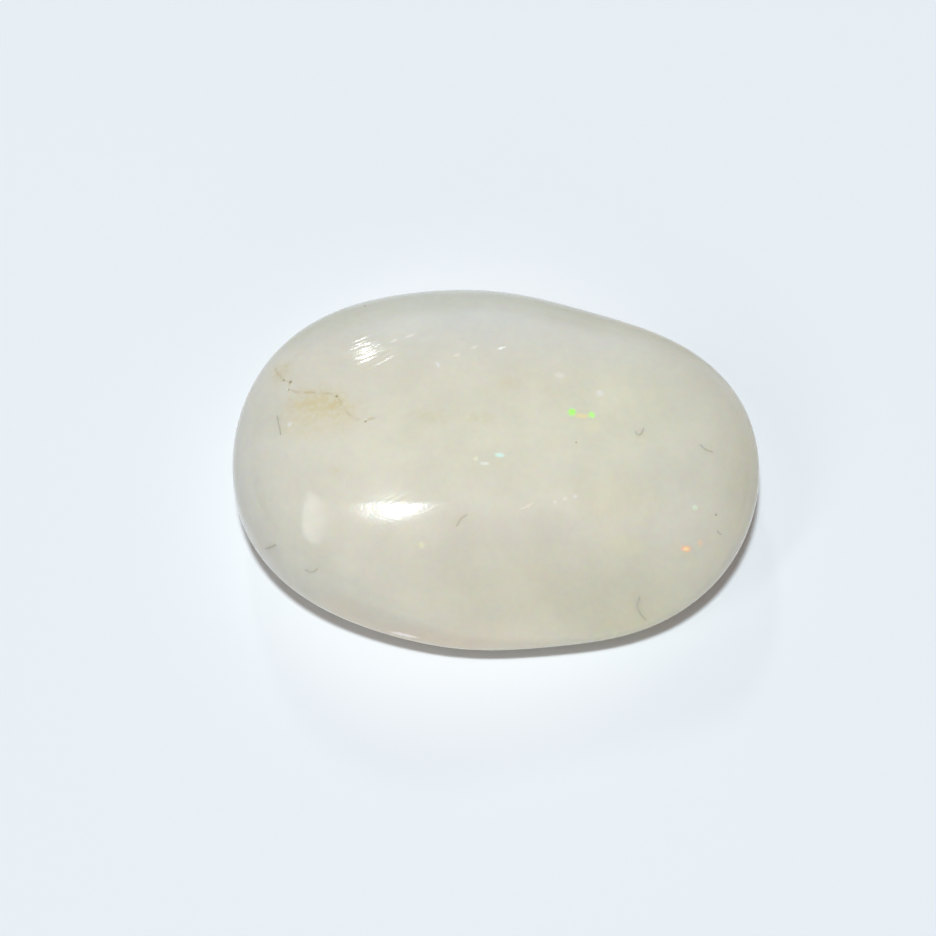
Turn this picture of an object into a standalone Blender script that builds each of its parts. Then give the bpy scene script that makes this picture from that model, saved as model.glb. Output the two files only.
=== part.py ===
"""A free-form opal cabochon: one polished stone with a low leaning dome and a flat ground back.

Metres, +Z up. The origin is on the flat back, under the middle of the stone's outline.
+X runs along the stone towards its narrower end, and +Y across it.
"""

import math

import bmesh
import bpy
from mathutils import Vector

MM = 0.001

# Outline at the girdle, the widest line round the stone.
HALF_LENGTH = 12.4 * MM
HALF_WIDTH = 8.815 * MM
LONG_AXIS_TURN = math.radians(-4.6)
# Slow waves on the ellipse: lobes round the stone, depth as a share of the radius, and a crest's
# heading in degrees.
OUTLINE_WAVES = (
    (3, 0.0153, -12.4),
    (4, 0.0148, 36.2),
    (5, 0.0031, 24.2),
    (6, 0.0099, 23.9),
)

# The girdle rises from the middle of each side to the two ends.
GIRDLE_HEIGHT = 1.6 * MM
GIRDLE_LIFT = 1.1 * MM

# Roundness of the dome's shoulder: 2 is an ellipse, and more is squarer.
DOME_POWER = 2.76
TOP_HEIGHT = 5.01 * MM

# A broad swell makes the stone thickest towards its blunter end.
SWELL_RISE = 2.55 * MM
SWELL_X = -10.8 * MM
SWELL_REACH_X = 18.4 * MM
SWELL_REACH_Y = 14.0 * MM

# The -Y side was ground to a broad soft flat, which meets the top in a rounded ridge and steepens a
# little from there to the girdle.
FLAT_HEADING = math.radians(-78.5)
FLAT_SLOPE = math.radians(38.7)
FLAT_BULGE = 0.036 / MM
RIDGE_DISTANCE = 5.3 * MM
RIDGE_HEIGHT = 5.57 * MM
RIDGE_SOFTNESS = 0.78 * MM

# The underside rounds in from the girdle to the flat back.
BACK_INSET = 2.2 * MM
BACK_ARC = math.radians(50.0)

# Squares along each edge of the cube that the stone is shaped from.
GRID = 24

OPAL_COLOUR = (0.68, 0.66, 0.56, 1.0)
OPAL_ROUGHNESS = 0.14


def clear_scene():
    for obj in list(bpy.data.objects):
        bpy.data.objects.remove(obj, do_unlink=True)


def outline_radius(angle):
    """Distance from the stone's axis to the girdle."""
    turned = angle - LONG_AXIS_TURN
    across = math.hypot(HALF_WIDTH * math.cos(turned), HALF_LENGTH * math.sin(turned))
    ellipse = HALF_LENGTH * HALF_WIDTH / across
    waves = 0.0
    for lobes, depth, crest in OUTLINE_WAVES:
        waves += depth * math.cos(lobes * (angle - math.radians(crest)))
    return ellipse * (1 + waves)


def girdle_height(angle):
    return GIRDLE_HEIGHT + GIRDLE_LIFT * math.cos(angle) ** 2


def soft_minimum(first, second, softness):
    """The lower of two heights, rounded over where they cross."""
    if abs(first - second) >= softness:
        return min(first, second)
    return min(first, second) - (softness - abs(first - second)) ** 2 / (4 * softness)


def dome_point(angle, latitude):
    """A point between the girdle, at latitude 0, and the top of the dome, at 90 degrees."""
    outward, upward = math.cos(latitude), math.sin(latitude)
    reach = (outward**DOME_POWER + upward**DOME_POWER) ** (-1 / DOME_POWER)
    rise = upward * reach
    radius = outline_radius(angle) * outward * reach
    x, y = radius * math.cos(angle), radius * math.sin(angle)
    girdle = girdle_height(angle)
    swell = SWELL_RISE * math.exp(-(((x - SWELL_X) / SWELL_REACH_X) ** 2) - (y / SWELL_REACH_Y) ** 2)
    dome = girdle + rise * (TOP_HEIGHT - girdle + swell)
    beyond = x * math.cos(FLAT_HEADING) + y * math.sin(FLAT_HEADING) - RIDGE_DISTANCE
    flat = RIDGE_HEIGHT - beyond * math.tan(FLAT_SLOPE) - FLAT_BULGE * max(beyond, 0.0) ** 2
    return Vector((x, y, soft_minimum(dome, flat, RIDGE_SOFTNESS)))


def underside_point(angle, share):
    """A point between the girdle, at share 0, and the edge of the flat back, at share 1."""
    arc = share * BACK_ARC
    inset = BACK_INSET * (1 - math.cos(arc)) / (1 - math.cos(BACK_ARC))
    radius = outline_radius(angle) - inset
    height = dome_point(angle, 0.0).z * (1 - math.sin(arc) / math.sin(BACK_ARC))
    return Vector((radius * math.cos(angle), radius * math.sin(angle), height))


def stone_point(corner):
    """Where a point on the surface of the cube, which reaches 1 each way, lies on the stone."""
    angle = math.atan2(corner.y, corner.x)
    latitude = math.atan2(corner.z, math.hypot(corner.x, corner.y))
    if latitude >= 0:
        return dome_point(angle, latitude)
    # The cube's bottom face becomes the flat back, so its edge has to land on the back's edge.
    edge_latitude = math.atan(max(abs(math.cos(angle)), abs(math.sin(angle))))
    share = -latitude / edge_latitude
    if share <= 1:
        return underside_point(angle, share)
    inward = (math.pi / 2 + latitude) / (math.pi / 2 - edge_latitude)
    return underside_point(angle, 1) * inward


def centred(mesh):
    """Moves the outline's middle over the origin."""
    for axis in (0, 1):
        places = [vert.co[axis] for vert in mesh.verts]
        middle = (min(places) + max(places)) / 2
        for vert in mesh.verts:
            vert.co[axis] -= middle


def opal_material():
    material = bpy.data.materials.new("opal")
    material.use_nodes = True
    shader = material.node_tree.nodes["Principled BSDF"]
    shader.inputs["Base Color"].default_value = OPAL_COLOUR
    shader.inputs["Roughness"].default_value = OPAL_ROUGHNESS
    shader.inputs["Metallic"].default_value = 0.0
    return material


def opal_stone():
    """A subdivided cube, each point of which is moved to its place on the stone."""
    mesh = bmesh.new()
    bmesh.ops.create_cube(mesh, size=2.0)
    bmesh.ops.subdivide_edges(mesh, edges=mesh.edges[:], cuts=GRID - 1, use_grid_fill=True)
    back = [face for face in mesh.faces if face.calc_center_median().z < -1 + 0.5 / GRID]
    for vert in mesh.verts:
        vert.co = stone_point(vert.co)
    bmesh.ops.dissolve_faces(mesh, faces=back, use_verts=True)
    centred(mesh)
    bmesh.ops.recalc_face_normals(mesh, faces=mesh.faces[:])
    data = bpy.data.meshes.new("opal_stone")
    mesh.to_mesh(data)
    mesh.free()
    data.shade_smooth()
    data.set_sharp_from_angle(angle=math.radians(12.0))
    stone = bpy.data.objects.new("opal_stone", data)
    stone.data.materials.append(opal_material())
    bpy.context.scene.collection.objects.link(stone)
    return stone


clear_scene()
opal_stone()
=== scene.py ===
"""The finished look of the opal cabochon: a milky polished stone with an iron-stained healed crack and
a few flecks of play-of-colour, and the lint that lies on it.

Lengths among the constants are in millimetres, and every mesh is built in metres. The origin is on
the flat back, +X runs along the stone towards its narrower end, +Y across it and +Z up.
"""

import math

import bmesh
import bpy
from mathutils import Matrix, Vector, noise
from mathutils.bvhtree import BVHTree


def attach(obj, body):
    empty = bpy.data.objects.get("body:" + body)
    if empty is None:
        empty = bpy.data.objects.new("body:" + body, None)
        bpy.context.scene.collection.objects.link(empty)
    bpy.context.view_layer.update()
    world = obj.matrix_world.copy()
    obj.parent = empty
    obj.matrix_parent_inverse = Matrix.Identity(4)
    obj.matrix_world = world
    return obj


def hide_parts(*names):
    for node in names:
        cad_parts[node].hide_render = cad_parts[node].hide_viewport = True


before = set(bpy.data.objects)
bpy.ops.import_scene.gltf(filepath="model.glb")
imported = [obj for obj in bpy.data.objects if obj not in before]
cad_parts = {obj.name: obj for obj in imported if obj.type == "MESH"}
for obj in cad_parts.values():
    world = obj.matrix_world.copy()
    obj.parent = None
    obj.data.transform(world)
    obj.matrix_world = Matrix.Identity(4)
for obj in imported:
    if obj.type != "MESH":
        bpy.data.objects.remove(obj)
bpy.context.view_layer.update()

MM = 0.001

# ---- The stone's form ----

# Outline at the girdle, the widest line round the stone.
HALF_LENGTH = 12.4
HALF_WIDTH = 8.815
LONG_AXIS_TURN = math.radians(-4.6)
# Slow waves on the ellipse: lobes round the stone, depth as a share of the radius, and a crest's
# heading in degrees.
OUTLINE_WAVES = (
    (3, 0.0153, -12.4),
    (4, 0.0148, 36.2),
    (5, 0.0031, 24.2),
    (6, 0.0099, 23.9),
)
# The girdle rises from the middle of each side to the two ends.
GIRDLE_HEIGHT = 1.6
GIRDLE_LIFT = 1.1
# Roundness of the dome's shoulder: 2 is an ellipse, and more is squarer.
DOME_POWER = 2.76
TOP_HEIGHT = 5.01
# A broad swell makes the stone thickest towards its blunter end.
SWELL_RISE = 2.55
SWELL_X = -10.8
SWELL_REACH_X = 18.4
SWELL_REACH_Y = 14.0
# The -Y side was ground to a broad soft flat, which meets the top in a rounded ridge and steepens a
# little from there to the girdle.
FLAT_HEADING = math.radians(-78.5)
FLAT_SLOPE = math.radians(38.7)
FLAT_BULGE = 0.036
RIDGE_DISTANCE = 5.3
RIDGE_HEIGHT = 5.57
RIDGE_SOFTNESS = 0.78
# The underside rounds in from the girdle to the flat back.
BACK_INSET = 2.2
BACK_ARC = math.radians(50.0)

# Hand polishing leaves the skin very slightly uneven, but not the underside, below this height.
RIPPLE_HEIGHT = 0.004
RIPPLE_LENGTH = 2.6
UNDERSIDE_TOP = 1.0

# Two low swellings where the ridge has worn: centre, reach and rise.
SWELLINGS = (
    ((-3.88, -5.32, 6.4), (3.24, 1.94, 2.0), 0.0725),
    ((-6.94, -5.0, 6.4), (1.68, 2.0, 2.0), 0.0475),
)

# Squares along each edge of the cube that the stone is shaped from.
GRID = 96

# ---- The healed crack ----

# It runs in from the rim at the blunter end and dies out near the top: x and y of its corners.
CRACK_PATH = (
    (-10.19, 3.76),
    (-10.03, 3.29),
    (-9.74, 2.71),
    (-9.41, 2.48),
    (-9.45, 2.11),
    (-9.17, 1.89),
    (-8.71, 1.74),
    (-8.02, 1.71),
    (-7.70, 1.63),
    (-7.24, 1.41),
    (-7.05, 1.11),
    (-6.91, 0.74),
    (-6.66, 0.36),
    (-6.36, 0.17),
    (-5.90, 0.06),
    (-5.50, 0.20),
)
CRACK_HALF_WIDTH = 0.11
CRACK_DEPTH = 0.010
CRACK_JITTER = 0.06
CRACK_JITTER_LENGTH = 0.35
# How open it is, as a share, and how that comes and goes along its length.
CRACK_OPENNESS = 0.36
CRACK_SWING = 1.3
CRACK_SWINGS_PER_MM = 3.5
CRACK_LEAST_OPEN = 0.08
CRACK_MOST_OPEN = 0.65
# Where in the noise its wander along each axis is read, far enough apart to be unlike.
CRACK_JITTER_OFFSETS = ((0.0, 0.0, 0.0), (31.7, 5.3, 12.9), (8.1, 47.2, 23.6))
# Small pits along it, full of brown dirt: x, y and radius.
CRACK_PITS = (
    (-9.72, 2.70, 0.055),
    (-9.41, 2.50, 0.080),
    (-9.47, 2.08, 0.050),
    (-7.26, 1.42, 0.070),
    (-5.92, 0.06, 0.055),
)
PIT_DEPTH = 0.04
# The mesh is made finer round it in steps: how far from it, and the cuts in each edge.
CRACK_SPLITS = (
    (0.5, 1),
    (0.3, 3),
)

# ---- What lies on the stone ----

FIBRE_RADIUS = 0.027
# Bits of lint, each given by points along it, which are brought onto the skin.
LINT_FIBRES = (
    ((-9.98, 0.76, 6.20), (-9.89, 0.32, 6.27), (-9.79, -0.24, 6.33)),
    ((6.31, 0.14, 5.85), (6.49, -0.02, 5.81), (6.64, 0.14, 5.78), (6.71, 0.35, 5.76)),
    ((9.30, -0.17, 5.11), (9.53, -0.36, 5.04), (9.90, -0.47, 4.91)),
    ((6.52, -6.91, 3.17), (6.42, -7.20, 2.91), (6.52, -7.43, 2.65), (6.82, -7.67, 2.35)),
    ((-1.80, -4.78, 6.23), (-1.60, -4.47, 6.36), (-1.33, -4.28, 6.42)),
    ((-10.47, -4.77, 3.76), (-10.21, -4.88, 4.19), (-9.99, -4.91, 4.51)),
    ((-8.65, -6.10, 4.37), (-8.49, -6.19, 4.39), (-8.32, -6.24, 4.46), (-8.07, -6.19, 4.75)),
    ((10.05, -4.12, 4.33), (10.09, -4.19, 4.28), (10.22, -4.26, 4.18)),
)
GRIT_LUMPINESS = 0.5
# Specks of grit: a point on the skin, and a radius.
GRIT_SPECKS = (
    ((10.00, -3.43, 4.55), 0.050),
    ((3.63, -0.63, 6.32), 0.040),
    ((-6.04, 6.94, 5.04), 0.040),
    ((10.08, -4.16, 4.30), 0.030),
)


def outline_radius(angle):
    """Distance from the stone's axis to the girdle."""
    turned = angle - LONG_AXIS_TURN
    across = math.hypot(HALF_WIDTH * math.cos(turned), HALF_LENGTH * math.sin(turned))
    ellipse = HALF_LENGTH * HALF_WIDTH / across
    waves = 0.0
    for lobes, depth, crest in OUTLINE_WAVES:
        waves += depth * math.cos(lobes * (angle - math.radians(crest)))
    return ellipse * (1 + waves)


def girdle_height(angle):
    return GIRDLE_HEIGHT + GIRDLE_LIFT * math.cos(angle) ** 2


def soft_minimum(first, second, softness):
    """The lower of two heights, rounded over where they cross."""
    if abs(first - second) >= softness:
        return min(first, second)
    return min(first, second) - (softness - abs(first - second)) ** 2 / (4 * softness)


def dome_point(angle, latitude):
    """A point between the girdle, at latitude 0, and the top of the dome, at 90 degrees."""
    outward, upward = math.cos(latitude), math.sin(latitude)
    reach = (outward**DOME_POWER + upward**DOME_POWER) ** (-1 / DOME_POWER)
    rise = upward * reach
    radius = outline_radius(angle) * outward * reach
    x, y = radius * math.cos(angle), radius * math.sin(angle)
    girdle = girdle_height(angle)
    swell = SWELL_RISE * math.exp(-(((x - SWELL_X) / SWELL_REACH_X) ** 2) - (y / SWELL_REACH_Y) ** 2)
    dome = girdle + rise * (TOP_HEIGHT - girdle + swell)
    beyond = x * math.cos(FLAT_HEADING) + y * math.sin(FLAT_HEADING) - RIDGE_DISTANCE
    flat = RIDGE_HEIGHT - beyond * math.tan(FLAT_SLOPE) - FLAT_BULGE * max(beyond, 0.0) ** 2
    return Vector((x, y, soft_minimum(dome, flat, RIDGE_SOFTNESS)))


def underside_point(angle, share):
    """A point between the girdle, at share 0, and the edge of the flat back, at share 1."""
    arc = share * BACK_ARC
    inset = BACK_INSET * (1 - math.cos(arc)) / (1 - math.cos(BACK_ARC))
    radius = outline_radius(angle) - inset
    height = dome_point(angle, 0.0).z * (1 - math.sin(arc) / math.sin(BACK_ARC))
    return Vector((radius * math.cos(angle), radius * math.sin(angle), height))


def stone_point(corner):
    """Where a point on the surface of the cube, which reaches 1 each way, lies on the stone."""
    angle = math.atan2(corner.y, corner.x)
    latitude = math.atan2(corner.z, math.hypot(corner.x, corner.y))
    if latitude >= 0:
        return dome_point(angle, latitude)
    # The cube's bottom face becomes the flat back, so its edge has to land on the back's edge.
    edge_latitude = math.atan(max(abs(math.cos(angle)), abs(math.sin(angle))))
    share = -latitude / edge_latitude
    if share <= 1:
        return underside_point(angle, share)
    inward = (math.pi / 2 + latitude) / (math.pi / 2 - edge_latitude)
    return underside_point(angle, 1) * inward


def outline_middle():
    """The middle of the outline's box, which the stone is moved off to bring it over the origin."""
    steps = 720
    rim = [dome_point(2 * math.pi * step / steps, 0.0) for step in range(steps)]
    across = [(min(p[axis] for p in rim) + max(p[axis] for p in rim)) / 2 for axis in (0, 1)]
    return Vector((across[0], across[1], 0.0))


# ---- Meshes ----


def path_distance(place):
    """Distance in plan from the crack, whose line wanders a little between its corners."""
    reading = place / CRACK_JITTER_LENGTH
    wander = Vector(noise.noise(reading + Vector(offset)) for offset in CRACK_JITTER_OFFSETS) * CRACK_JITTER
    wandered = (place + wander).to_2d()
    nearest = math.inf
    for start, end in zip(CRACK_PATH, CRACK_PATH[1:]):
        start = Vector(start)
        along = Vector(end) - start
        share = min(max((wandered - start).dot(along) / along.length_squared, 0.0), 1.0)
        nearest = min(nearest, (wandered - start - along * share).length)
    return nearest


def fade(distance, reach):
    """1 at no distance, falling smoothly to 0 at reach."""
    share = min(distance / reach, 1.0)
    return (1 - share) ** 2 * (1 + 2 * share)


def swelling(place):
    """How far the worn swellings lift the skin."""
    lift = 0.0
    for centre, reach, rise in SWELLINGS:
        share = Vector((p - c) / r for p, c, r in zip(place, centre, reach)).length
        lift += rise * fade(share, 1.0)
    return lift


def split_near_crack(mesh, middle, reach, cuts):
    """Splits the faces within reach of the crack, while the mesh is still a cube."""
    near = []
    for face in mesh.faces:
        corner = face.calc_center_median()
        if corner.z > 0 and path_distance(stone_point(corner) - middle) < reach:
            near.append(face)
    edges = sorted({edge for face in near for edge in face.edges}, key=lambda edge: edge.index)
    bmesh.ops.subdivide_edges(mesh, edges=edges, cuts=cuts, use_grid_fill=True)
    mesh.edges.index_update()


def opal_mesh():
    """The stone in fine facets, with its crack and pits sunk in.

    Layer "crack" marks how deep they go, and layer "far_lean" how much the skin faces +Y.
    """
    middle = outline_middle()
    mesh = bmesh.new()
    bmesh.ops.create_cube(mesh, size=2.0)
    bmesh.ops.subdivide_edges(mesh, edges=mesh.edges[:], cuts=GRID - 1, use_grid_fill=True)
    mesh.edges.index_update()
    for reach, cuts in CRACK_SPLITS:
        split_near_crack(mesh, middle, reach, cuts)
    for vert in mesh.verts:
        vert.co = stone_point(vert.co) - middle
    mesh.normal_update()
    crack = mesh.verts.layers.float.new("crack")
    far_lean = mesh.verts.layers.float.new("far_lean")
    sunk = {}
    for vert in mesh.verts:
        place = vert.co.copy()
        vert[far_lean] = max(vert.normal.y, 0.0)
        if place.z < UNDERSIDE_TOP:
            continue
        depth = RIPPLE_HEIGHT * (1 - noise.noise(place / RIPPLE_LENGTH)) * fade(UNDERSIDE_TOP, place.z)
        openness = CRACK_OPENNESS + CRACK_SWING * noise.noise(place * CRACK_SWINGS_PER_MM)
        openness = min(max(openness, CRACK_LEAST_OPEN), CRACK_MOST_OPEN)
        line = fade(path_distance(place), CRACK_HALF_WIDTH) * openness
        pit = max(fade((place.to_2d() - Vector((x, y))).length, 2 * radius) for x, y, radius in CRACK_PITS)
        vert[crack] = max(line, pit)
        depth += CRACK_DEPTH * line + PIT_DEPTH * pit
        sunk[vert] = place + vert.normal * (swelling(place) - depth)
    for vert, place in sunk.items():
        vert.co = place
    bmesh.ops.scale(mesh, vec=(MM, MM, MM), verts=mesh.verts[:])
    bmesh.ops.recalc_face_normals(mesh, faces=mesh.faces[:])
    return mesh


def piece(name, mesh, material):
    """An object of its own, at the origin, that takes over a bmesh."""
    data = bpy.data.meshes.new(name)
    mesh.to_mesh(data)
    mesh.free()
    data.shade_smooth()
    data.materials.append(material)
    made = bpy.data.objects.new(name, data)
    bpy.context.scene.collection.objects.link(made)
    return made


def lint_fibres(skin, material):
    """Hair-thin bits of lint, each a tube lying on the skin."""
    curve = bpy.data.curves.new("lint_fibres", "CURVE")
    curve.dimensions = "3D"
    curve.resolution_u = 8
    curve.bevel_depth = FIBRE_RADIUS * MM
    curve.bevel_resolution = 2
    curve.use_fill_caps = True
    for places in LINT_FIBRES:
        spline = curve.splines.new("BEZIER")
        spline.bezier_points.add(len(places) - 1)
        for knot, place in zip(spline.bezier_points, places):
            point, normal, _, _ = skin.find_nearest(Vector(place) * MM)
            knot.co = point + normal * FIBRE_RADIUS * MM
            knot.handle_left_type = "AUTO"
            knot.handle_right_type = "AUTO"
    curve.materials.append(material)
    made = bpy.data.objects.new("lint_fibres", curve)
    bpy.context.scene.collection.objects.link(made)
    return made


def grit_specks(skin, material):
    """Crumbs of grit, half sunk in the polish."""
    mesh = bmesh.new()
    for place, radius in GRIT_SPECKS:
        point, _, _, _ = skin.find_nearest(Vector(place) * MM)
        seat = Matrix.Translation(point)
        crumb = bmesh.ops.create_icosphere(mesh, subdivisions=2, radius=radius * MM, matrix=seat)
        for vert in crumb["verts"]:
            lump = noise.noise(vert.co / (radius * MM))
            vert.co += (vert.co - point) * GRIT_LUMPINESS * lump
    return piece("grit_specks", mesh, material)


# ---- Materials ----


def put(tree, kind, inputs=(), **settings):
    """A node with its settings, and each listed input set to a value or joined to a socket."""
    node = tree.nodes.new(kind)
    for name, value in settings.items():
        setattr(node, name, value)
    for name, value in dict(inputs).items():
        join(tree, value, node.inputs[name])
    return node


def join(tree, value, socket):
    if isinstance(value, bpy.types.NodeSocket):
        tree.links.new(value, socket)
    else:
        socket.default_value = value


def maths(tree, operation, first, second, third=0.0):
    return put(tree, "ShaderNodeMath", {0: first, 1: second, 2: third}, operation=operation).outputs[0]


def spread(tree, value, low, high, to_low=0.0, to_high=1.0):
    """A value mapped smoothly from one range to another, without going past either end."""
    inputs = {"Value": value, "From Min": low, "From Max": high, "To Min": to_low, "To Max": to_high}
    return put(tree, "ShaderNodeMapRange", inputs, interpolation_type="SMOOTHSTEP").outputs[0]


def tinted(tree, factor, under, over, blend="MIX"):
    """One colour laid over another."""
    node = put(tree, "ShaderNodeMix", data_type="RGBA", blend_type=blend)
    join(tree, factor, node.inputs[0])
    join(tree, under, node.inputs[6])
    join(tree, over, node.inputs[7])
    return node.outputs[2]


def jittered(tree, place, scale, detail, reach):
    """Places shifted a little by noise, so that what is laid out on them gets ragged edges."""
    noisy = put(tree, "ShaderNodeTexNoise", {"Vector": place, "Scale": scale, "Detail": detail})
    shift = put(tree, "ShaderNodeVectorMath", {0: noisy.outputs["Color"], 1: (0.5, 0.5, 0.5)},
                operation="SUBTRACT").outputs[0]
    shift = put(tree, "ShaderNodeVectorMath", {0: shift, "Scale": reach}, operation="SCALE").outputs[0]
    return put(tree, "ShaderNodeVectorMath", {0: place, 1: shift}, operation="ADD").outputs[0]


def new_group(name, inputs, outputs):
    """A shader node group with named sockets, and its input and output nodes."""
    group = bpy.data.node_groups.new(name, "ShaderNodeTree")
    for label, kind in inputs:
        group.interface.new_socket(label, in_out="INPUT", socket_type=kind)
    for label, kind in outputs:
        group.interface.new_socket(label, in_out="OUTPUT", socket_type=kind)
    return group, group.nodes.new("NodeGroupInput"), group.nodes.new("NodeGroupOutput")


def soft_spot_group():
    """A soft-edged oval mask: 1 inside its core, and 0 past its reach."""
    group, given, result = new_group(
        "soft_spot",
        (
            ("Place", "NodeSocketVector"),
            ("Centre", "NodeSocketVector"),
            ("Reach", "NodeSocketVector"),
            ("Core", "NodeSocketFloat"),
        ),
        (("Mask", "NodeSocketFloat"),),
    )
    offset = put(group, "ShaderNodeVectorMath", {0: given.outputs["Place"], 1: given.outputs["Centre"]},
                 operation="SUBTRACT").outputs[0]
    share = put(group, "ShaderNodeVectorMath", {0: offset, 1: given.outputs["Reach"]},
                operation="DIVIDE").outputs[0]
    distance = put(group, "ShaderNodeVectorMath", {0: share}, operation="LENGTH").outputs["Value"]
    mask = spread(group, distance, given.outputs["Core"], 1.0, 1.0, 0.0)
    group.links.new(mask, result.inputs["Mask"])
    return group


def spot(tree, group, place, centre, reach, core=0.0):
    inputs = {"Place": place, "Centre": centre, "Reach": reach, "Core": core}
    return put(tree, "ShaderNodeGroup", inputs, node_tree=group).outputs["Mask"]


# ---- Opal ----

# Linear colours. The body is milky, warm in its heart and greyer on the far shoulder, where it also
# has painted shade.
MILK = (0.655, 0.643, 0.562, 1.0)
# Clouds in the milk. Their tones were trimmed region by region to the stone's lit brightness, so they are
# partly its own colour and partly painted shading: the darker clouds at the ends, on the far left and low on
# the near side are partly painted shade, and the warm band low along the near rim is partly painted light.
MILK_AND_SHADING_CLOUDS = (
    # centre, reach, colour, strength
    ((-0.5, 0.0, 6.5), (11.0, 5.5, 6.0), (0.676, 0.676, 0.564, 1.0), 0.7),
    ((6.0, 1.5, 5.5), (6.0, 5.0, 4.0), (0.694, 0.702, 0.555, 1.0), 0.5),
    ((-2.0, 7.0, 5.0), (13.0, 5.0, 6.0), (0.678, 0.713, 0.698, 1.0), 0.8),
    ((5.5, 4.8, 5.2), (4.5, 2.5, 3.0), (0.737, 0.748, 0.688, 1.0), 0.5),
    ((-8.5, 6.2, 5.0), (3.5, 3.0, 3.5), (0.609, 0.63, 0.582, 1.0), 0.4),
    ((-11.0, -1.5, 3.5), (4.5, 7.0, 6.0), (0.562, 0.570, 0.522, 1.0), 0.7),
    ((-8.5, -6.5, 3.5), (5.5, 4.0, 4.0), (0.586, 0.587, 0.514, 1.0), 0.6),
    ((0.5, -7.0, 4.0), (8.0, 3.5, 4.0), (0.614, 0.602, 0.472, 1.0), 0.5),
    ((6.0, -7.0, 2.5), (8.0, 4.5, 5.0), (0.596, 0.587, 0.461, 1.0), 0.7),
    ((11.5, -1.5, 2.5), (5.0, 8.0, 5.0), (0.603, 0.578, 0.450, 1.0), 0.75),
    ((-3.0, -8.4, 2.0), (7.5, 1.7, 1.7), (0.73, 0.64, 0.515, 1.0), 0.8),
    ((-6.6, -7.2, 2.6), (3.0, 1.6, 1.8), (0.72, 0.66, 0.525, 1.0), 0.7),
    ((5.5, -3.2, 5.8), (3.5, 2.0, 2.5), (0.655, 0.643, 0.512, 1.0), 0.7),
    ((7.0, -8.0, 1.9), (4.0, 1.6, 1.4), (0.56, 0.545, 0.40, 1.0), 0.6),
)
# Painted shade: the far shoulder, where the skin leans towards +Y away from the key lamp, is painted
# a little darker between these leans, and less so from there to the girdle.
PAINTED_FAR_SHADE = (0.86, 0.85, 0.76, 1.0)
FAR_SHADE_STARTS = 0.38, 0.64
FAR_SHADE_WANES = 0.66, 0.85
FAR_SHADE_AT_GIRDLE = 0.3
# Broad veils, and a fine mottle of hues.
VEILS_PER_MM = 0.35
VEIL_SHADES = 0.965, 1.03
MOTTLES_PER_MM = 3.0
MOTTLE_STRENGTH = 0.15
# Iron has stained the milk along the crack.
RUST = (0.60, 0.525, 0.29, 1.0)
RUST_SPOTS = (
    ((-7.35, 1.01, 7.0), (0.9, 0.75, 1.5), 0.42),
    ((-8.3, 1.31, 6.8), (2.0, 1.0, 1.5), 0.38),
    ((-6.9, 0.41, 7.0), (1.5, 1.2, 1.5), 0.32),
    ((-8.6, 0.56, 6.7), (2.3, 1.8, 1.5), 0.33),
    ((-9.9, 3.26, 5.7), (0.8, 1.2, 1.5), 0.35),
    ((-3.0, 0.31, 7.1), (1.6, 0.5, 1.5), 0.20),
    ((-0.9, 0.30, 6.9), (1.4, 0.35, 1.5), 0.22),
    ((0.55, 2.15, 6.6), (0.9, 0.6, 1.5), 0.18),
    ((-7.3, -2.29, 6.8), (0.35, 0.3, 1.0), 0.30),
)
RUST_GRAINS_PER_MM = 4.0
RUST_GRAIN_STRENGTHS = 0.5, 1.4
# Ragged edges: how fine the noise is, its detail, and how far it shifts them.
RUST_RAGS = 3.0, 3.0, 0.9
FLECK_RAGS = 9.0, 1.0, 0.18
CRACK_BROWN = (0.46, 0.39, 0.23, 1.0)
CRACK_BROWN_STRENGTH = 0.8
# The darker brown of the pits comes in between these shares of their depth.
PIT_BROWN = (0.27, 0.23, 0.15, 1.0)
PIT_BROWN_DEPTHS = 0.6, 1.0
# Share of a fleck's or a painted glint's reach that is full strength.
FLECK_CORE = 0.3
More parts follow.
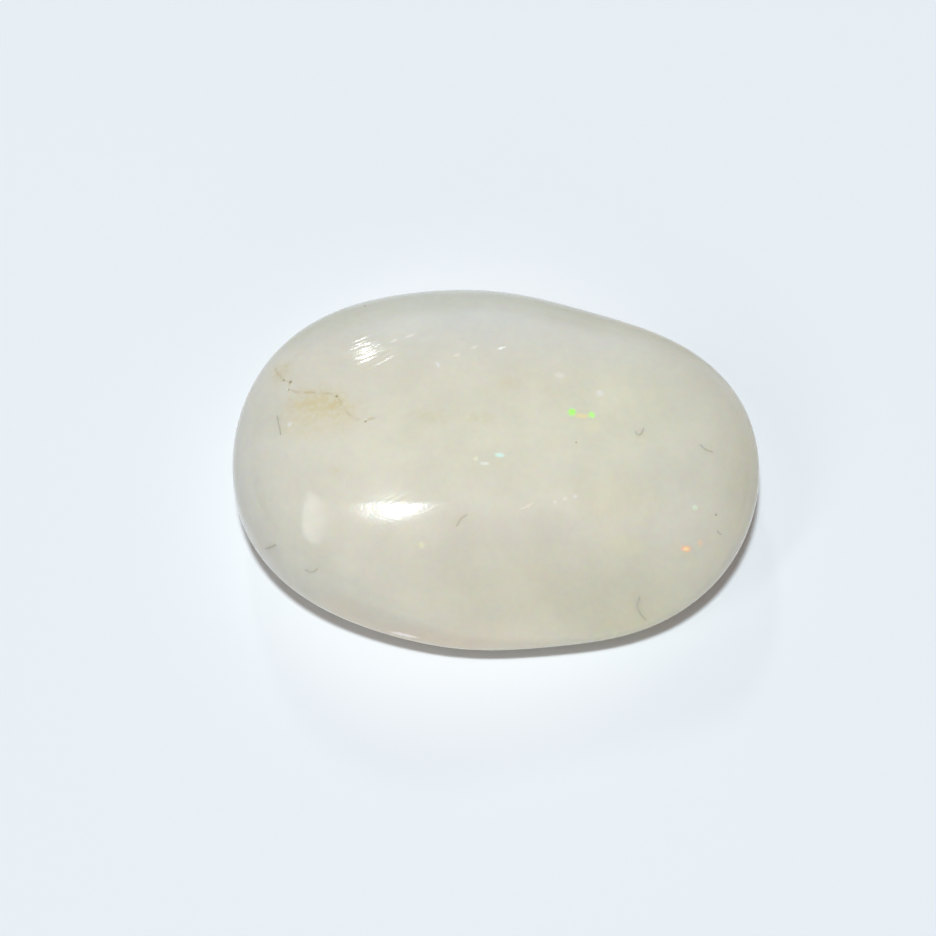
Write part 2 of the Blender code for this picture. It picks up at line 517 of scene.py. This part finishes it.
# Play-of-colour and other small bright marks: centre, reach, colour and strength of each. The
# near-white one low on the near rim is a painted glint.
FLECKS_AND_GLINT = (
    ((3.45, 0.88, 6.3), (0.26, 0.28, 1.0), (0.48, 1.0, 0.25, 1.0), 1.0),
    ((4.36, 0.82, 6.2), (0.22, 0.22, 1.0), (0.52, 1.0, 0.30, 1.0), 0.95),
    ((3.88, 0.74, 6.3), (0.45, 0.18, 1.0), (0.80, 0.72, 0.38, 1.0), 0.7),
    ((4.4, 0.24, 6.2), (0.6, 0.5, 1.0), (0.76, 0.74, 0.50, 1.0), 0.25),
    ((0.15, -1.47, 6.8), (0.29, 0.17, 1.0), (0.68, 0.87, 0.83, 1.0), 0.95),
    ((-0.52, -1.91, 6.8), (0.28, 0.13, 1.0), (0.82, 0.86, 0.80, 1.0), 0.7),
    ((-0.92, -1.69, 6.9), (0.16, 0.14, 1.0), (0.82, 0.82, 0.68, 1.0), 0.6),
    ((8.62, -5.05, 4.4), (0.32, 0.17, 1.0), (1.0, 0.57, 0.33, 1.0), 0.9),
    ((8.62, -5.05, 4.4), (0.20, 0.09, 1.0), (1.0, 0.78, 0.48, 1.0), 0.9),
    ((9.27, -4.74, 4.4), (0.18, 0.20, 1.0), (0.84, 0.60, 0.42, 1.0), 0.6),
    ((4.74, 1.99, 6.0), (0.24, 0.24, 1.0), (0.84, 0.82, 0.86, 1.0), 0.45),
    ((2.90, 2.80, 6.2), (0.34, 0.22, 1.0), (0.84, 0.83, 0.78, 1.0), 0.4),
    ((-4.20, -8.33, 2.1), (0.95, 0.50, 0.24), (1.0, 0.97, 0.88, 1.0), 1.0),
    ((-9.37, 0.18, 6.5), (0.16, 0.16, 1.0), (0.74, 0.74, 0.76, 1.0), 0.7),
    ((-3.38, -5.58, 5.9), (0.18, 0.18, 1.0), (0.80, 0.80, 0.56, 1.0), 0.6),
    ((9.04, -3.26, 5.0), (0.18, 0.18, 1.0), (0.72, 0.86, 0.66, 1.0), 0.6),
    ((5.9, -5.12, 4.9), (1.3, 0.5, 2.0), (0.70, 0.68, 0.44, 1.0), 0.25),
)
# Painted glints on the polish, which lie along its marks: centre, reach, colour and strength.
PAINTED_GLINTS = (
    ((-4.66, 4.39, 6.6), (0.28, 0.10, 1.0), (0.85, 0.85, 0.80, 1.0), 0.7),
    ((-3.95, 4.67, 6.5), (0.34, 0.10, 1.0), (0.85, 0.85, 0.80, 1.0), 0.6),
    ((-2.66, 3.04, 6.8), (0.13, 0.26, 1.0), (0.78, 0.80, 0.80, 1.0), 0.7),
    ((-1.80, 3.62, 6.7), (0.26, 0.12, 1.0), (0.84, 0.80, 0.72, 1.0), 0.6),
    ((-0.98, 4.10, 6.5), (0.26, 0.12, 1.0), (0.80, 0.80, 0.72, 1.0), 0.6),
    ((0.25, 4.12, 6.4), (0.28, 0.08, 1.0), (0.92, 0.96, 0.92, 1.0), 0.95),
    ((1.35, -3.82, 6.3), (0.55, 0.07, 1.0), (0.84, 0.86, 0.76, 1.0), 0.40),
    ((2.65, -3.56, 6.2), (0.13, 0.10, 1.0), (0.86, 0.86, 0.84, 1.0), 0.40),
    ((3.10, -3.40, 6.2), (0.16, 0.10, 1.0), (0.86, 0.88, 0.84, 1.0), 0.35),
    ((3.56, -3.25, 6.1), (0.16, 0.12, 1.0), (0.86, 0.86, 0.86, 1.0), 0.45),
)
# Heights of the marks and pits in the polish are given as shares of this.
RELIEF = 0.025
# Heading of the polishing marks, how often they come, how long they run and how high they rise.
POLISH_TURN = math.radians(28)
MARKS_PER_MM = 6.0
MARK_STRETCH = 7.0
MARK_RISE = 0.06
# They come in between these heights above the back.
MARK_HEIGHTS = 3.0, 5.0
# They are deepest in one patch: its centre, reach and core, and how much higher they rise there.
SCORED_PATCH = (-5.3, 4.0, 6.6), (3.2, 2.0, 2.0), 0.4
SCORED_RISE = 0.69
# The worn and finely pitted part of the ridge, which ends between these places across the stone.
WORN_PATCH = (-5.37, -4.64, 6.6), (4.03, 2.52, 2.0), 0.48
WORN_ENDS = -3.95, -3.67
WORN_PITS_PER_MM = 7.0
WORN_PIT_RISE = 0.16
# Roughness of the polish, which varies a little, and of the other finishes.
POLISH_ROUGHNESS = 0.09, 0.12
WORN_ROUGHNESS = 0.10
GROUND_ROUGHNESS = 0.45
CRACK_ROUGHNESS = 0.6
# The ground finish of the back goes over into polish between these heights.
GROUND_HEIGHTS = 0.01, 0.06
OPAL_IOR = 1.45
LIGHT_DEPTH = 3.0
LIGHT_DEPTH_BY_COLOUR = (1.0, 0.85, 0.6)


def opal_material():
    """Milky opal: light goes well into it, and its polish is not quite even."""
    material = bpy.data.materials.new("milky_opal")
    material.use_nodes = True
    tree = material.node_tree
    shader = tree.nodes["Principled BSDF"]
    whole = put(tree, "ShaderNodeTexCoord").outputs["Object"]
    place = put(tree, "ShaderNodeVectorMath", {0: whole, "Scale": 1 / MM}, operation="SCALE").outputs[0]
    soft_spot = soft_spot_group()

    colour = MILK
    # Clouds of the milk's own tone, with painted shade and painted light in them.
    for centre, reach, cloud, strength in MILK_AND_SHADING_CLOUDS:
        mask = maths(tree, "MULTIPLY", spot(tree, soft_spot, place, centre, reach), strength)
        colour = tinted(tree, mask, colour, cloud)

    # Painted shade on the far shoulder, from how far the skin leans towards +Y.
    far_lean = put(tree, "ShaderNodeAttribute", attribute_name="far_lean").outputs["Fac"]
    shaded = maths(tree, "MULTIPLY", spread(tree, far_lean, *FAR_SHADE_STARTS),
                   spread(tree, far_lean, *FAR_SHADE_WANES, 1.0, FAR_SHADE_AT_GIRDLE))
    colour = tinted(tree, shaded, colour, PAINTED_FAR_SHADE, "MULTIPLY")

    # Cloudiness, from broad veils down to a fine mottle.
    veil = put(tree, "ShaderNodeTexNoise",
               {"Vector": place, "Scale": VEILS_PER_MM, "Detail": 5.0, "Roughness": 0.6})
    veil = spread(tree, veil.outputs["Fac"], 0.3, 0.7, *VEIL_SHADES)
    colour = tinted(tree, 1.0, colour, veil, "MULTIPLY")
    hue = put(tree, "ShaderNodeTexNoise", {"Vector": place, "Scale": MOTTLES_PER_MM, "Detail": 3.0})
    colour = tinted(tree, MOTTLE_STRENGTH, colour, hue.outputs["Color"], "SOFT_LIGHT")

    stained = jittered(tree, place, *RUST_RAGS)
    grainy = put(tree, "ShaderNodeTexNoise", {"Vector": place, "Scale": RUST_GRAINS_PER_MM, "Detail": 4.0})
    grainy = spread(tree, grainy.outputs["Fac"], 0.35, 0.65, *RUST_GRAIN_STRENGTHS)
    for centre, reach, strength in RUST_SPOTS:
        mask = maths(tree, "MULTIPLY", spot(tree, soft_spot, stained, centre, reach), strength)
        mask = maths(tree, "MULTIPLY", mask, grainy)
        colour = tinted(tree, mask, colour, RUST)
    crack = put(tree, "ShaderNodeAttribute", attribute_name="crack").outputs["Fac"]
    colour = tinted(tree, maths(tree, "MULTIPLY", crack, CRACK_BROWN_STRENGTH), colour, CRACK_BROWN)
    colour = tinted(tree, spread(tree, crack, *PIT_BROWN_DEPTHS), colour, PIT_BROWN)

    # Play-of-colour flecks, and one painted glint low on the near rim.
    flecked = jittered(tree, place, *FLECK_RAGS)
    for centre, reach, fleck, strength in FLECKS_AND_GLINT:
        mask = maths(tree, "MULTIPLY", spot(tree, soft_spot, flecked, centre, reach, FLECK_CORE), strength)
        colour = tinted(tree, mask, colour, fleck)
    # Painted glints, turned to lie along the polishing marks.
    turned = put(tree, "ShaderNodeMapping", {"Vector": flecked, "Rotation": (0.0, 0.0, -POLISH_TURN)})
    for centre, reach, glint_colour, strength in PAINTED_GLINTS:
        centre = Matrix.Rotation(-POLISH_TURN, 3, "Z") @ Vector(centre)
        mask = spot(tree, soft_spot, turned.outputs[0], centre, reach, FLECK_CORE)
        colour = tinted(tree, maths(tree, "MULTIPLY", mask, strength), colour, glint_colour)
    join(tree, colour, shader.inputs["Base Color"])

    # Fine polishing marks run across the stone, deepest at one place on the far side. The worn part
    # of the ridge is finely pitted, and the back is only ground.
    marks = put(tree, "ShaderNodeMapping", {"Vector": place, "Rotation": (0.0, 0.0, POLISH_TURN),
                                            "Scale": (MARK_STRETCH, 1.0, 1.0)}, vector_type="TEXTURE")
    fine = put(tree, "ShaderNodeTexNoise",
               {"Vector": marks.outputs[0], "Scale": MARKS_PER_MM, "Detail": 0.6})
    split = put(tree, "ShaderNodeSeparateXYZ", {0: place})
    height = split.outputs["Z"]
    scored = maths(tree, "MULTIPLY_ADD", spot(tree, soft_spot, place, *SCORED_PATCH), SCORED_RISE, MARK_RISE)
    relief = maths(tree, "MULTIPLY", maths(tree, "MULTIPLY", fine.outputs["Fac"], scored),
                   spread(tree, height, *MARK_HEIGHTS))
    worn = maths(tree, "MULTIPLY", spot(tree, soft_spot, place, *WORN_PATCH),
                 spread(tree, split.outputs["Y"], *WORN_ENDS, 1.0, 0.0))
    pitted = put(tree, "ShaderNodeTexNoise", {"Vector": place, "Scale": WORN_PITS_PER_MM, "Detail": 1.0})
    pitted = maths(tree, "MULTIPLY", pitted.outputs["Fac"], worn)
    relief = maths(tree, "ADD", relief, maths(tree, "MULTIPLY", pitted, WORN_PIT_RISE))
    bump = put(tree, "ShaderNodeBump", {"Strength": 1.0, "Distance": RELIEF * MM, "Height": relief})
    join(tree, bump.outputs["Normal"], shader.inputs["Normal"])
    ground = spread(tree, height, *GROUND_HEIGHTS, 1.0, 0.0)
    roughness = spread(tree, fine.outputs["Fac"], 0.3, 0.7, *POLISH_ROUGHNESS)
    roughness = maths(tree, "ADD", roughness, maths(tree, "MULTIPLY", worn, WORN_ROUGHNESS))
    roughness = maths(tree, "MAXIMUM", roughness, maths(tree, "MULTIPLY", ground, GROUND_ROUGHNESS))
    roughness = maths(tree, "MAXIMUM", roughness, maths(tree, "MULTIPLY", crack, CRACK_ROUGHNESS))
    join(tree, roughness, shader.inputs["Roughness"])
    shader.inputs["IOR"].default_value = OPAL_IOR
    shader.inputs["Subsurface Weight"].default_value = 1.0
    shader.inputs["Subsurface Radius"].default_value = LIGHT_DEPTH_BY_COLOUR
    shader.inputs["Subsurface Scale"].default_value = LIGHT_DEPTH * MM
    return material


LINT_COLOURS = (0.43, 0.42, 0.36, 1.0), (0.54, 0.53, 0.46, 1.0)
LINT_MOTTLES_PER_M = 2500.0
LINT_ROUGHNESS = 0.8
GRIT_COLOURS = (0.38, 0.35, 0.27, 1.0), (0.52, 0.49, 0.41, 1.0)
GRIT_MOTTLES_PER_M = 12000.0
GRIT_ROUGHNESS = 0.9


def lint_material():
    material = bpy.data.materials.new("grey_lint")
    material.use_nodes = True
    tree = material.node_tree
    shader = tree.nodes["Principled BSDF"]
    whole = put(tree, "ShaderNodeTexCoord").outputs["Object"]
    uneven = put(tree, "ShaderNodeTexNoise", {"Vector": whole, "Scale": LINT_MOTTLES_PER_M}).outputs["Fac"]
    colour = tinted(tree, uneven, *LINT_COLOURS)
    join(tree, colour, shader.inputs["Base Color"])
    shader.inputs["Roughness"].default_value = LINT_ROUGHNESS
    return material


def grit_material():
    material = bpy.data.materials.new("brown_grit")
    material.use_nodes = True
    tree = material.node_tree
    shader = tree.nodes["Principled BSDF"]
    whole = put(tree, "ShaderNodeTexCoord").outputs["Object"]
    uneven = put(tree, "ShaderNodeTexNoise", {"Vector": whole, "Scale": GRIT_MOTTLES_PER_M}).outputs["Fac"]
    colour = tinted(tree, uneven, *GRIT_COLOURS)
    join(tree, colour, shader.inputs["Base Color"])
    shader.inputs["Roughness"].default_value = GRIT_ROUGHNESS
    return material


# ---- Stage ----

FLOOR_RADIUS = 3.0
FLOOR_COLOUR = (0.84, 0.86, 0.88, 1.0)
FLOOR_ROUGHNESS = 0.6
FLOOR_SPECULAR = 0.2
# Lamps stand far off, so that the floor round the stone is evenly lit.
LAMP_DISTANCE = 1.5
LAMP_TARGET = Vector((0.0, 0.0, 4.0)) * MM
POOL_DISTANCE = 0.6
POOL_LAMP_RADIUS = 0.003
WORLD_COLOUR = (1.0, 0.80, 0.74, 1.0)
WORLD_STRENGTH = 0.24


def floor():
    mesh = bmesh.new()
    bmesh.ops.create_circle(mesh, cap_ends=True, segments=64, radius=FLOOR_RADIUS)
    material = bpy.data.materials.new("pale_board")
    material.use_nodes = True
    shader = material.node_tree.nodes["Principled BSDF"]
    shader.inputs["Base Color"].default_value = FLOOR_COLOUR
    shader.inputs["Roughness"].default_value = FLOOR_ROUGHNESS
    shader.inputs["Specular IOR Level"].default_value = FLOOR_SPECULAR
    made = piece("floor", mesh, material)


def lamp(name, direction, long_side, short_side, power, colour, lie=None):
    """A soft rectangular lamp facing the stone. Its long side lies along a given direction."""
    light = bpy.data.lights.new(name, "AREA")
    light.shape = "ELLIPSE" if lie is None else "RECTANGLE"
    light.size = long_side
    light.size_y = short_side
    light.energy = power
    light.color = colour
    made = bpy.data.objects.new(name, light)
    outward = Vector(direction).normalized()
    along = Vector((1, 0, 0)) if lie is None else Vector(lie)
    along = (along - outward * along.dot(outward)).normalized()
    turn = Matrix((along, outward.cross(along), outward)).transposed()
    made.matrix_world = Matrix.Translation(LAMP_TARGET + outward * LAMP_DISTANCE) @ turn.to_4x4()
    bpy.context.scene.collection.objects.link(made)


def pool(name, direction, centre, radius, power, colour):
    """A lamp that throws a soft round pool of light on the floor."""
    light = bpy.data.lights.new(name, "SPOT")
    light.spot_size = 2 * math.atan(radius * MM / POOL_DISTANCE)
    light.spot_blend = 1.0
    light.shadow_soft_size = POOL_LAMP_RADIUS
    light.energy = power
    light.color = colour
    made = bpy.data.objects.new(name, light)
    outward = Vector(direction).normalized()
    made.location = Vector(centre) * MM + outward * POOL_DISTANCE
    made.rotation_euler = outward.to_track_quat("Z", "Y").to_euler()
    bpy.context.scene.collection.objects.link(made)


def lamps():
    lamp("key", (-0.035, -0.120, 0.99), 0.16, 0.16, 15.4, (0.868, 1.0, 1.078), lie=(1, 1, 0))
    lamp("far_lamp", (-0.16, 0.83, 0.55), 0.125, 0.18, 1.8, (1.0, 1.0, 1.0))
    lamp("left_strip", (-0.64, -0.35, 0.68), 1.0, 0.16, 2.0, (1.0, 1.0, 1.0), lie=(-0.16, -0.57, -0.51))
    lamp("near_fill", (-0.10, -0.93, 0.35), 1.6, 0.7, 1.5, (1.0, 0.95, 0.90), lie=(0.99, -0.11, 0))
    pool("pool_lamp", (-0.045, -0.13, 0.99), (-1.0, -0.45, 0.0), 15.1, 2.5, (1.0, 0.75, 0.55))


def soft_world():
    """Dim warm light from all round."""
    world = bpy.data.worlds.new("studio")
    world.use_nodes = True
    bpy.context.scene.world = world
    ambient = world.node_tree.nodes["Background"]
    ambient.inputs["Color"].default_value = WORLD_COLOUR
    ambient.inputs["Strength"].default_value = WORLD_STRENGTH


CAMERA_ELEVATION = math.radians(65.0)
CAMERA_DISTANCE = 260.0
CAMERA_AIM = Vector((-1.280, -0.323, 2.908))
# Half the width of what the frame takes in at the stone.
FRAME_HALF = 21.517
SENSOR = 36.0


def camera():
    data = bpy.data.cameras.new("camera")
    made = bpy.data.objects.new("camera", data)
    bpy.context.scene.collection.objects.link(made)
    back = Vector((0.0, -math.cos(CAMERA_ELEVATION), math.sin(CAMERA_ELEVATION)))
    made.location = (CAMERA_AIM + back * CAMERA_DISTANCE) * MM
    made.rotation_euler = (math.pi / 2 - CAMERA_ELEVATION, 0.0, 0.0)
    data.sensor_width = SENSOR
    data.lens = SENSOR / 2 / FRAME_HALF * CAMERA_DISTANCE
    data.clip_start = 10 * MM
    bpy.context.scene.camera = made


stone_mesh = opal_mesh()
skin = BVHTree.FromBMesh(stone_mesh)
stone = piece("opal_polished", stone_mesh, opal_material())
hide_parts("opal_stone")
fibres = lint_fibres(skin, lint_material())
grit = grit_specks(skin, grit_material())
for part in (stone, fibres, grit):
    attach(part, "root")

floor()
lamps()
soft_world()
camera()
bpy.context.scene.view_settings.view_transform = "Standard"
